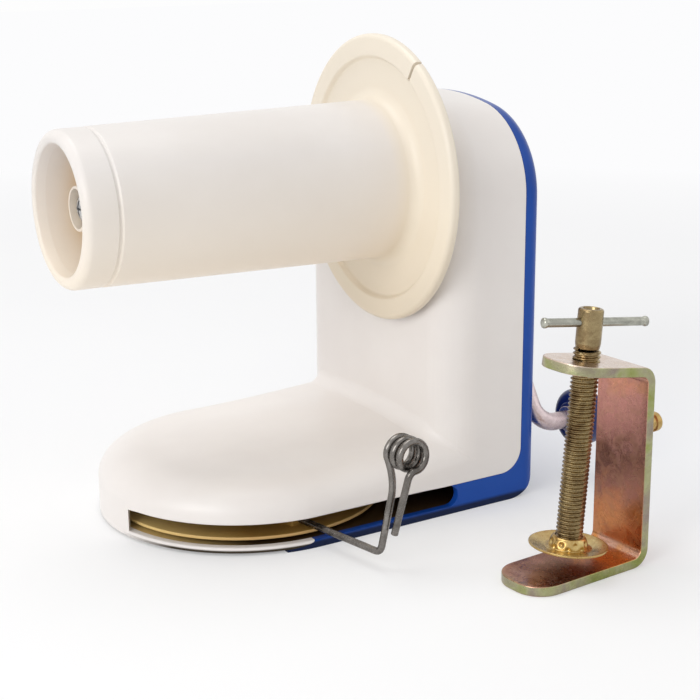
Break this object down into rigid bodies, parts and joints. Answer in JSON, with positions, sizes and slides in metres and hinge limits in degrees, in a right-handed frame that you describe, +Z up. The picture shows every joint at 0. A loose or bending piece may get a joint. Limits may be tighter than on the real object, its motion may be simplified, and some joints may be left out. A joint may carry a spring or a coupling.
{
  "type": "yarn ball winder",
  "caption": "Hand-cranked yarn winder: horizontal ivory core on a white and blue gear housing, swinging wire yarn guide, and a separate yellow-zinc screw clamp.",
  "frame": {"origin": "on the table, under the middle of the foot's round nose, where the yarn guide's pivot stands", "axes": "+Z up; the core points toward -X, the crank is at the back toward +X, and the yarn guide and the clamp stand on the -Y side"},
  "size_m": [0.179, 0.1636, 0.1514],
  "materials": {
    "shell_white": "semi-gloss warm white moulding",
    "shell_blue": "glossy royal blue moulding",
    "core_ivory": "semi-gloss ivory moulding",
    "inner_plastic": "natural matt plastic",
    "gear_plastic": "natural acetal",
    "knob_blue": "glossy dark blue plastic",
    "bronze": "sintered bronze",
    "steel": "bright zinc",
    "dark_steel": "dark spring steel",
    "rod_zinc": "pinkish passivated zinc",
    "wire_steel": "grey drawn wire",
    "yellow_zinc": "yellow passivated zinc with rainbow tints",
    "screw_zinc": "yellow passivated zinc"
  },
  "bodies": {
    "body": {"front_shell": "shell_white", "rear_shell": "shell_blue", "base_plate": "inner_plastic", "base_screws": "steel", "case_screws": "steel", "front_core_bush": "bronze", "rear_core_bush": "bronze", "front_crank_bush": "bronze", "rear_crank_bush": "bronze", "guide_post": "steel", "guide_clip": "dark_steel"},
    "core": {"yarn_core": "core_ivory", "core_shaft": "steel", "core_pinion": "gear_plastic", "core_clip": "dark_steel", "core_washer": "steel", "core_screw": "steel"},
    "crank": {"crank_rod": "rod_zinc", "crank_gear": "gear_plastic", "gear_pin": "dark_steel", "crank_clip": "dark_steel", "knob_washer": "steel"},
    "knob": {"crank_knob": "knob_blue"},
    "guide": {"guide_disc": "inner_plastic", "guide_wire": "wire_steel"},
    "clamp": {"clamp_bracket": "yellow_zinc", "clamp_stud": "steel"},
    "pad": {"clamp_pad": "screw_zinc"},
    "screw": {"clamp_screw": "screw_zinc"},
    "bar": {"clamp_bar": "steel"}
  },
  "joints": [
    {"name": "crank_turn", "type": "hinge", "parent": "body", "child": "crank", "pos_m": [0, -0.0105, 0.0668], "axis": [1, 0, 0], "continuous": true},
    {"name": "core_spin", "type": "hinge", "parent": "body", "child": "core", "pos_m": [0, -0.0105, 0.1053], "axis": [1, 0, 0], "continuous": true},
    {"name": "knob_spin", "type": "hinge", "parent": "crank", "child": "knob", "pos_m": [0.108, -0.04007, 0.02161], "axis": [1, 0, 0], "continuous": true},
    {"name": "guide_swing", "type": "hinge", "parent": "body", "child": "guide", "pos_m": [0, 0, 0.006], "axis": [0, 0, 1], "range_deg": [-70, 30]},
    {"name": "clamp_lift", "type": "slide", "parent": "body", "child": "clamp", "axis": [0, 0, 1], "range_m": [0, 0.1]},
    {"name": "screw_turn", "type": "hinge", "parent": "pad", "child": "screw", "pos_m": [0.05345, -0.10344, 0.0088], "axis": [-0.0868, -0.0082, -0.9962], "continuous": true},
    {"name": "pad_travel", "type": "slide", "parent": "clamp", "child": "pad", "axis": [-0.0868, -0.0082, -0.9962], "range_m": [-0.045, 0.0032]},
    {"name": "bar_slide", "type": "slide", "parent": "screw", "child": "bar", "axis": [-0.9851, 0.1499, 0.0846], "range_m": [-0.0098, 0.0134]}
  ],
  "couplings": [
    {"joint": "core_spin", "follows": "crank_turn", "ratio": -3.5294},
    {"joint": "screw_turn", "follows": "pad_travel", "rad_per_m": 5026.5}
  ]
}
